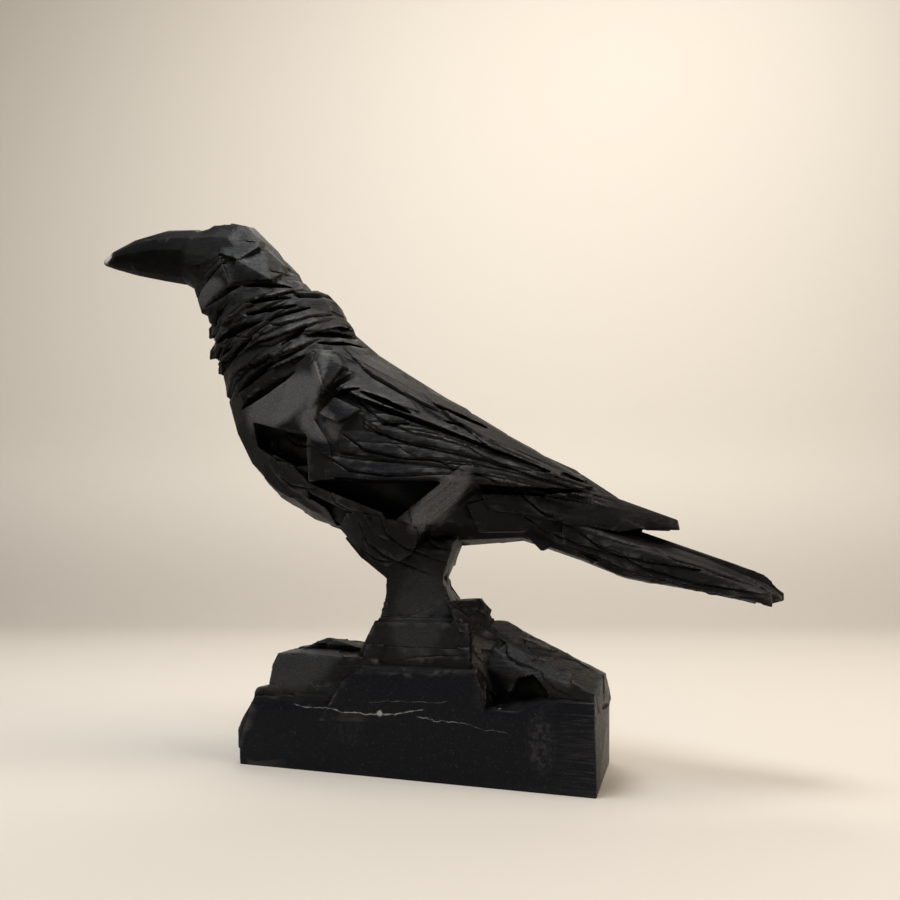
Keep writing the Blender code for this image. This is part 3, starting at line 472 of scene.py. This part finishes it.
def paint_wear(mesh, points, normals):
    """Edges, painted shade in grooves and hollows, bruised edges, and the granular planes with their painted
    highlight.
    """
    edge = bulge(mesh, points, normals)
    sharp = fade(edge, 0.00012, 0.00045)
    # Painted shade: darker colour in concave creases and in hollows that the stone itself hides from the
    # open air.
    groove = np.maximum(fade(-edge, 0.00010, 0.00045), fade(hollowness(mesh, points, normals), 0.22, 0.58))
    x, z = points[:, 0] * 1000, points[:, 2] * 1000
    chance_of_wear = noise(points, 0.010, 6.1) + 0.16 * (z < 112)
    wear = sharp * fade(chance_of_wear, 0.55, 0.80)
    grainy_highlight = np.zeros(len(points))
    for middle, reach, turn, strength in GRAINY_HIGHLIGHT:
        # Granular planes: partly the stone's granular texture, partly painted highlight.
        grainy_highlight = np.maximum(grainy_highlight, strength * oval(x, z, middle, reach, turn))
    # The second channel of this layer is painted shade; the fourth is the granular planes with their painted
    # highlight.
    keep_colours(mesh, "wear", sharp, groove, wear, grainy_highlight)


def paint_lie(mesh, points, normals):
    """How far the surface faces up, and where dust dulls it."""
    x, z = points[:, 0] * 1000, points[:, 2] * 1000
    # The sawn rim counts as upright, so that its corner normals leave no marks on the front.
    sawn = regions(points)[-1]
    rim = np.maximum(1 - fade(z, 0.5, 5.0), sawn)
    # This upward share also sets painted shade on undersides, as weaker reflection.
    upward = fade(smoothed(mesh, normals, 2)[:, 2] * (1 - rim), -0.45, 0.65)
    dusty = fade(upward, 0.45, 1.0) * (1 - 0.8 * fade(-x, 186, 198))
    keep_colours(mesh, "lie", upward, dusty, np.zeros(len(points)), np.ones(len(points)))


# The dressed piece

def split_long_edges(mesh):
    """Halves the long edges of flat faces, so that no mask runs across a whole face."""
    shape = bmesh.new()
    shape.from_mesh(mesh)
    bmesh.ops.triangulate(shape, faces=shape.faces)
    for limit in (4, 2, 1):
        long = [edge for edge in shape.edges if edge.calc_length() > LONGEST_EDGE * limit]
        bmesh.ops.subdivide_edges(shape, edges=long, cuts=1)
        bmesh.ops.triangulate(shape, faces=[face for face in shape.faces if len(face.verts) > 3])
    shape.to_mesh(mesh)
    shape.free()


def tip_height(mesh):
    """Height of the vertex that is furthest out on the beak."""
    return min(read_points(mesh).tolist())[2]


def build_crow():
    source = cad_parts["crow_statue"]
    crow = bpy.data.objects.new("crow_carving", source.data.copy())
    bpy.context.scene.collection.objects.link(crow)
    shape = bmesh.new()
    shape.from_mesh(crow.data)
    bmesh.ops.remove_doubles(shape, verts=shape.verts, dist=0.000002)
    shape.to_mesh(crow.data)
    shape.free()
    remesh = crow.modifiers.new("fine", "REMESH")
    remesh.mode = "VOXEL"
    remesh.voxel_size = CELL * 1.0
    apply_modifiers(crow)
    carve(crow.data)
    thin = crow.modifiers.new("thin", "DECIMATE")
    triangles = sum(len(face.vertices) - 2 for face in crow.data.polygons)
    thin.ratio = min(1.0, TRIANGLES / triangles)
    apply_modifiers(crow)
    split_long_edges(crow.data)
    points, normals = read_points(crow.data), read_normals(crow.data)
    paint_wear(crow.data, points, normals)
    paint_lie(crow.data, points, normals)
    crow.data.shade_smooth()
    crow.data.set_sharp_from_angle(angle=CREASE)
    return crow


# Black stone

class Nodes:
    """Short helpers to wire a material."""

    def __init__(self, name):
        self.material = bpy.data.materials.new(name)
        self.material.use_nodes = True
        self.tree = self.material.node_tree
        self.tree.nodes.clear()

    def add(self, kind, **values):
        node = self.tree.nodes.new(kind)
        for name, value in values.items():
            setattr(node, name, value)
        return node

    def link(self, source, target):
        self.tree.links.new(source, target)

    def put(self, socket, value):
        if isinstance(value, bpy.types.NodeSocket):
            self.link(value, socket)
        else:
            socket.default_value = value

    def math(self, operation, first, second=0.0, clamp=False):
        node = self.add("ShaderNodeMath", operation=operation, use_clamp=clamp)
        for socket, value in zip(node.inputs, (first, second)):
            self.put(socket, value)
        return node.outputs[0]

    def ramp(self, value, low, high, to_low=0.0, to_high=1.0):
        node = self.add("ShaderNodeMapRange", interpolation_type="SMOOTHSTEP")
        self.put(node.inputs["Value"], value)
        for name, number in (("From Min", low), ("From Max", high), ("To Min", to_low), ("To Max", to_high)):
            node.inputs[name].default_value = number
        return node.outputs["Result"]

    def noise(self, vector, scale, detail=3.0, rough=0.55):
        node = self.add("ShaderNodeTexNoise")
        self.link(vector, node.inputs["Vector"])
        node.inputs["Scale"].default_value = scale
        node.inputs["Detail"].default_value = detail
        node.inputs["Roughness"].default_value = rough
        return node.outputs["Fac"]

    def mix(self, share, first, second):
        node = self.add("ShaderNodeMix", data_type="RGBA")
        self.put(node.inputs["Factor"], share)
        self.put(node.inputs["A"], first)
        self.put(node.inputs["B"], second)
        return node.outputs["Result"]

    def stretched(self, vector, scale, turn=(0, 0, 0)):
        node = self.add("ShaderNodeMapping")
        self.link(vector, node.inputs["Vector"])
        node.inputs["Scale"].default_value = scale
        node.inputs["Rotation"].default_value = turn
        return node.outputs["Vector"]


TONES = {
    "plain": (0.0052, 0.0052, 0.0056, 1),
    "clouded": (0.0084, 0.0084, 0.0088, 1),
    # Sawn front: the blue tint is painted cool light and reflection.
    "sawn": (0.0044, 0.0056, 0.0100, 1),
    "grain": (0.018, 0.0178, 0.0178, 1),
    "beak": (0.0022, 0.0022, 0.0025, 1),
    "dust": (0.0095, 0.0080, 0.0070, 1),
    # Granular planes, partly paler as painted highlight.
    "granular_highlight": (0.092, 0.092, 0.095, 1),
    # Painted glints: pale bluish specks on the granular planes.
    "painted_glint": (0.17, 0.175, 0.19, 1),
    # Painted shade for grooves and hollows.
    "groove": (0.0024, 0.0024, 0.0030, 1),
    "scratch": (0.040, 0.040, 0.041, 1),
    "worn": (0.080, 0.079, 0.078, 1),
    "dot": (0.10, 0.10, 0.105, 1),
    "vein": (0.36, 0.355, 0.34, 1),
    "scuff": (0.13, 0.13, 0.13, 1),
}
# Veins on the sawn front: x and z of both ends, width and strength.
VEINS = ((-0.074, 0.0385, -0.044, 0.0365, 0.00042, 0.40), (-0.046, 0.0365, -0.018, 0.0345, 0.0005, 0.7),
         (-0.018, 0.0350, 0.011, 0.0385, 0.0005, 0.8), (0.009, 0.0350, 0.040, 0.0335, 0.00042, 0.5),
         (0.038, 0.0335, 0.062, 0.0300, 0.0003, 0.25), (-0.022, 0.0425, 0.026, 0.0450, 0.0003, 0.25))
# Pale bruises: middle, radius, strength and brightness. The bruise of the beak's tip follows its height.
BRUISES = ((-0.0155, -0.043, 0.0362, 0.0021, 0.9, 0.40), (-0.015, -0.030, 0.094, 0.0040, 0.5, 0.22),
           (-0.124, -0.028, 0.311, 0.0032, 0.6, 0.30), (0.056, -0.034, 0.041, 0.0016, 0.5, 0.25))
TIP_BRUISE_PLACE, TIP_BRUISE_RISE, TIP_BRUISE_SIZE = (-0.2850, -0.0040), 0.0015, (0.0070, 0.95, 0.60)
# Dusty scuffs on the sawn front: x, z, width, height and strength.
SCUFFS = ((0.082, 0.026, 0.009, 0.019, 0.24), (-0.036, 0.027, 0.012, 0.012, 0.08))


class BlackStone(Nodes):
    """Black stone from the masks on the mesh and from the place on the statue."""

    def __init__(self, tip):
        super().__init__("black_stone")
        self.place = self.add("ShaderNodeTexCoord").outputs["Object"]
        axes = self.add("ShaderNodeSeparateXYZ")
        self.link(self.place, axes.inputs[0])
        self.x, self.y, self.z = axes.outputs
        # The wear layer carries painted shade of grooves and hollows in its second channel, and granular
        # planes with painted highlight in its fourth.
        self.sharp, self.groove, self.wear, self.grainy_highlight = self.masks("wear")
        self.upward, self.dusty, *_ = self.masks("lie")
        self.cloud = self.noise(self.place, 22.0, 4.0)
        self.grain = self.noise(self.place, 520.0, 3.0, 0.7)
        self.speck = self.noise(self.place, 1500.0, 1.0)
        strokes = self.stretched(self.place, (60.0, 300.0, 900.0), (0, math.radians(28), 0))
        self.scratch = self.noise(strokes, 1.0, 2.0)
        self.front = self.ramp(self.y, -0.0400, -0.0418)
        self.beak = self.ramp(self.x, -0.186, -0.200)

        colour = self.veined(self.stone_colour())
        for bruise in (*BRUISES, (*TIP_BRUISE_PLACE, tip + TIP_BRUISE_RISE, *TIP_BRUISE_SIZE)):
            colour = self.bruised(colour, *bruise)
        for scuff in SCUFFS:
            colour = self.scuffed(colour, *scuff)
        shader = self.add("ShaderNodeBsdfPrincipled")
        self.link(colour, shader.inputs["Base Color"])
        self.link(self.roughness(), shader.inputs["Roughness"])
        self.link(self.shine(), shader.inputs["Specular IOR Level"])
        self.link(self.tooled(), shader.inputs["Normal"])
        self.link(shader.outputs[0], self.add("ShaderNodeOutputMaterial").inputs["Surface"])

    def masks(self, name):
        """The four channels of a colour attribute."""
        attribute = self.add("ShaderNodeAttribute", attribute_name=name)
        channels = self.add("ShaderNodeSeparateColor")
        self.link(attribute.outputs["Color"], channels.inputs[0])
        return (*channels.outputs, attribute.outputs["Alpha"])

    def times(self, first, *others):
        for other in others:
            first = self.math("MULTIPLY", first, other)
        return first

    def stone_colour(self):
        """Black stone, blue-tinted on the sawn front as painted cool light, paler on granular planes (partly
        painted highlight, with painted glints) and worn edges, darker in grooves and hollows as painted
        shade.
        """
        colour = self.mix(self.ramp(self.cloud, 0.36, 0.66), TONES["plain"], TONES["clouded"])
        # Painted glints speckled over the granular planes.
        painted_glints = self.times(self.grainy_highlight, self.ramp(self.speck, 0.50, 0.64), 0.55)
        scratched = self.times(self.sharp, self.ramp(self.scratch, 0.4, 0.65), 0.55)
        dots = self.ramp(self.noise(self.place, 900.0, 1.0), 0.66, 0.74)
        for share, tone in (
                # Painted cool light: blue tint on the sawn front.
                (self.times(self.front, 0.7), "sawn"),
                (self.times(self.ramp(self.grain, 0.52, 0.72), 0.45), "grain"),
                (self.times(self.beak, 0.6), "beak"),
                (self.times(self.dusty, 0.30), "dust"),
                # Granular planes, partly painted highlight.
                (self.times(self.grainy_highlight, 0.90), "granular_highlight"),
                (painted_glints, "painted_glint"),
                # Painted shade in grooves and hollows.
                (self.times(self.groove, 0.85), "groove"),
                (scratched, "scratch"),
                (self.times(self.wear, 0.5), "worn"),
                (self.times(dots, self.front, 0.22), "dot")):
            colour = self.mix(share, colour, TONES[tone])
        return colour

    def veined(self, colour):
        """Fine pale broken veins across the sawn front."""
        wave = self.times(self.math("SUBTRACT", self.noise(self.place, 85.0, 3.0), 0.5), 0.006)
        height = self.math("SUBTRACT", self.z, wave)
        broken = self.ramp(self.noise(self.place, 210.0, 2.0), 0.40, 0.58)
        veins = None
        for x0, z0, x1, z1, width, strength in VEINS:
            slope = (z1 - z0) / (x1 - x0)
            line = self.math("ADD", self.times(self.math("SUBTRACT", self.x, x0), slope), z0)
            off = self.math("ABSOLUTE", self.math("SUBTRACT", height, line))
            begins = self.ramp(self.x, x0 - 0.002, x0 + 0.001)
            ends = self.ramp(self.x, x1 + 0.002, x1 - 0.001)
            vein = self.times(self.ramp(off, width, width * 0.25), begins, ends, strength)
            veins = vein if veins is None else self.math("MAXIMUM", veins, vein)
        veins = self.times(veins, self.front, self.ramp(broken, 0.0, 0.8, 0.35, 1.0))
        return self.mix(veins, colour, TONES["vein"])

    def bruised(self, colour, cx, cy, cz, radius, strength, tone):
        spot = self.add("ShaderNodeVectorMath", operation="DISTANCE")
        self.link(self.place, spot.inputs[0])
        spot.inputs[1].default_value = (cx, cy, cz)
        uneven = self.times(self.math("SUBTRACT", self.grain, 0.5), radius * 0.8)
        share = self.ramp(self.math("ADD", spot.outputs["Value"], uneven), radius, radius * 0.5)
        return self.mix(self.times(share, strength), colour, (tone, tone * 0.98, tone * 0.95, 1))

    def scuffed(self, colour, cx, cz, wide, tall, strength):
        dx = self.math("DIVIDE", self.math("SUBTRACT", self.x, cx), wide)
        dz = self.math("DIVIDE", self.math("SUBTRACT", self.z, cz), tall)
        ring = self.math("ADD", self.times(dx, dx), self.times(dz, dz))
        patches = self.ramp(self.noise(self.place, 300.0, 3.0, 0.7), 0.38, 0.68)
        share = self.times(self.ramp(ring, 1.2, 0.1), patches, self.front, strength)
        return self.mix(share, colour, TONES["scuff"])

    def roughness(self):
        rough = self.times(self.math("SUBTRACT", self.grain, 0.5), 0.5)
        rough = self.math("ADD", rough, self.ramp(self.cloud, 0.3, 0.7, 0.40, 0.50))
        return self.math("ADD", rough, self.times(self.groove, 0.25), clamp=True)

    def shine(self):
        """Less reflection in grooves, in hollows and on undersides as painted shade; duller on the sawn
        front, on the beak and under dust.
        """
        return self.times(
            # Painted shade: the reflection falls to about a quarter in grooves and hollows.
            self.ramp(self.groove, 0.0, 1.0, 0.26, 0.06), self.ramp(self.front, 0.0, 1.0, 1.0, 0.6),
            # Painted shade: undersides keep about a third of their reflection.
            self.ramp(self.upward, 0.0, 0.6, 0.35, 1.0), self.ramp(self.beak, 0.0, 1.0, 1.0, 0.5),
            self.ramp(self.dusty, 0.0, 1.0, 1.0, 0.42))

    def tooled(self):
        """Grain everywhere, and rasp strokes off the sawn front."""
        rasped = self.times(self.scratch, self.math("SUBTRACT", 1.0, self.front), 0.8)
        height = self.math("ADD", self.times(self.grain, 0.6), rasped)
        height = self.math("ADD", height, self.times(self.speck, 0.25))
        bump = self.add("ShaderNodeBump")
        bump.inputs["Strength"].default_value = 0.55
        bump.inputs["Distance"].default_value = 0.0004
        self.link(height, bump.inputs["Height"])
        return bump.outputs["Normal"]


# Stage, light and camera

def build_stage():
    """A pale floor that curves up into a plain backdrop behind the statue."""
    radius, near, far, wide, top = 0.6, -3.0, 1.9, 4.5, 3.2
    steps = 12
    profile = [(near, 0.0)]
    for k in range(steps + 1):
        turn = math.pi / 2 * k / steps
        profile.append((far - radius + radius * math.sin(turn), radius - radius * math.cos(turn)))
    profile.append((far, top))
    points, faces = [], []
    for py, pz in profile:
        points += [(-wide, py, pz), (wide, py, pz)]
    for k in range(len(profile) - 1):
        faces.append((2 * k, 2 * k + 1, 2 * k + 3, 2 * k + 2))
    mesh = bpy.data.meshes.new("floor")
    mesh.from_pydata(points, [], faces)
    mesh.shade_smooth()
    floor = bpy.data.objects.new("floor", mesh)
    bpy.context.scene.collection.objects.link(floor)
    floor.rotation_euler = (0, 0, CAMERA_TURN)
    n = Nodes("pale_floor")
    axes = n.add("ShaderNodeSeparateXYZ")
    n.link(n.add("ShaderNodeTexCoord").outputs["Object"], axes.inputs[0])
    shader = n.add("ShaderNodeBsdfPrincipled")
    tone = n.mix(n.ramp(axes.outputs["Z"], 0.0, 0.45), (0.56, 0.53, 0.49, 1), (0.78, 0.75, 0.70, 1))
    n.link(tone, shader.inputs["Base Color"])
    shader.inputs["Roughness"].default_value = 0.75
    shader.inputs["Specular IOR Level"].default_value = 0.2
    n.link(shader.outputs[0], n.add("ShaderNodeOutputMaterial").inputs["Surface"])
    mesh.materials.append(n.material)


def add_light(name, place, target, size, power, colour, spread=180):
    """A soft rectangular lamp; spread is the width of its beam in degrees."""
    lamp = bpy.data.lights.new(name, "AREA")
    lamp.shape = "RECTANGLE"
    lamp.size, lamp.size_y = size
    lamp.energy = power
    lamp.color = colour
    lamp.spread = math.radians(spread)
    thing = bpy.data.objects.new(name, lamp)
    bpy.context.scene.collection.objects.link(thing)
    thing.location = place
    thing.rotation_euler = (Vector(target) - Vector(place)).to_track_quat("-Z", "Y").to_euler()


def build_lights():
    add_light("warm_right", (1.5, -0.15, 0.95), (0.0, 0.0, 0.2), (0.8, 0.8), 15, (1.0, 0.83, 0.64))
    add_light("overhead", (-0.35, -0.55, 1.75), (-0.05, 0.0, 0.22), (0.8, 0.6), 18, (0.92, 0.96, 1.0))
    add_light("backdrop", (0.5, 0.3, 2.3), (-0.45, 1.75, 0.5), (2.4, 1.2), 48, (1.0, 0.93, 0.83))
    add_light("far_fill", (-0.6, 1.1, 2.1), (0.0, 0.0, 0.2), (0.9, 0.9), 2.2, (1.0, 0.96, 0.90), 80)
    world = bpy.data.worlds.new("room")
    world.use_nodes = True
    world.node_tree.nodes["Background"].inputs["Color"].default_value = (1.0, 0.95, 0.88, 1)
    world.node_tree.nodes["Background"].inputs["Strength"].default_value = 0.13
    bpy.context.scene.world = world


def build_camera():
    data = bpy.data.cameras.new("camera")
    data.sensor_width = SENSOR
    data.lens = LENS
    data.clip_start = 0.01
    camera = bpy.data.objects.new("camera", data)
    bpy.context.scene.collection.objects.link(camera)
    camera.location = CAMERA_PLACE
    camera.rotation_euler = (math.pi / 2 + CAMERA_PITCH, 0, CAMERA_TURN)
    bpy.context.scene.camera = camera


crow = build_crow()
crow.data.materials.clear()
crow.data.materials.append(BlackStone(tip_height(crow.data)).material)
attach(crow, "root")
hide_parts("crow_statue")
build_stage()
build_lights()
build_camera()

scene = bpy.context.scene
scene.view_settings.view_transform = "Standard"
scene.view_settings.look = "None"
scene.view_settings.exposure = 0.0
